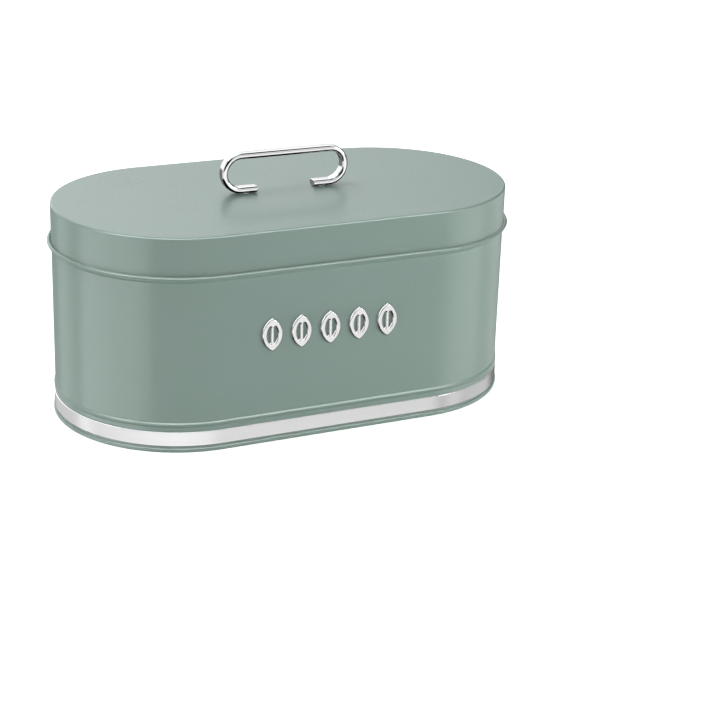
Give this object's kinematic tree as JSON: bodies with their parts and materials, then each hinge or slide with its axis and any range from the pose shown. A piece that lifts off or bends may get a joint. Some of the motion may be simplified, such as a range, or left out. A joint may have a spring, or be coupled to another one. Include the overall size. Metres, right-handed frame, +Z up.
{
  "type": "bread bin",
  "caption": "Long oval bread bin in painted sheet steel with a lift-off lid, a looped top handle, a polished band round the foot and grain-shaped badges on the front.",
  "frame": {"origin": "centre of the footprint, on the table the bin stands on", "axes": "+X along the length, -Y out of the front with the badges, +Z up"},
  "size_m": [0.3464, 0.1844, 0.185],
  "materials": {
    "painted_steel": "satin sage-green powder coat",
    "polished_band": "polished stainless strip",
    "bright_badge": "bright plated, softly rounded edges",
    "adhesive_pad": "dark foam adhesive pad",
    "chromed_strip": "mirror chrome",
    "zinc_fixings": "zinc plated"
  },
  "bodies": {
    "bin": {"body_shell": "painted_steel", "base_pan": "painted_steel", "trim_band": "polished_band", "front_badge_1": "bright_badge", "front_badge_2": "bright_badge", "front_badge_3": "bright_badge", "front_badge_4": "bright_badge", "front_badge_5": "bright_badge", "badge_pads": "adhesive_pad"},
    "lid": {"lid_cap": "painted_steel", "lid_plug_ring": "painted_steel", "handle": "chromed_strip", "handle_spacers": "chromed_strip", "handle_washers": "zinc_fixings", "handle_screws": "zinc_fixings"}
  },
  "joints": [
    {"name": "lid_lift", "type": "slide", "parent": "bin", "child": "lid", "axis": [0, 0, 1], "range_m": [0, 0.16]}
  ]
}
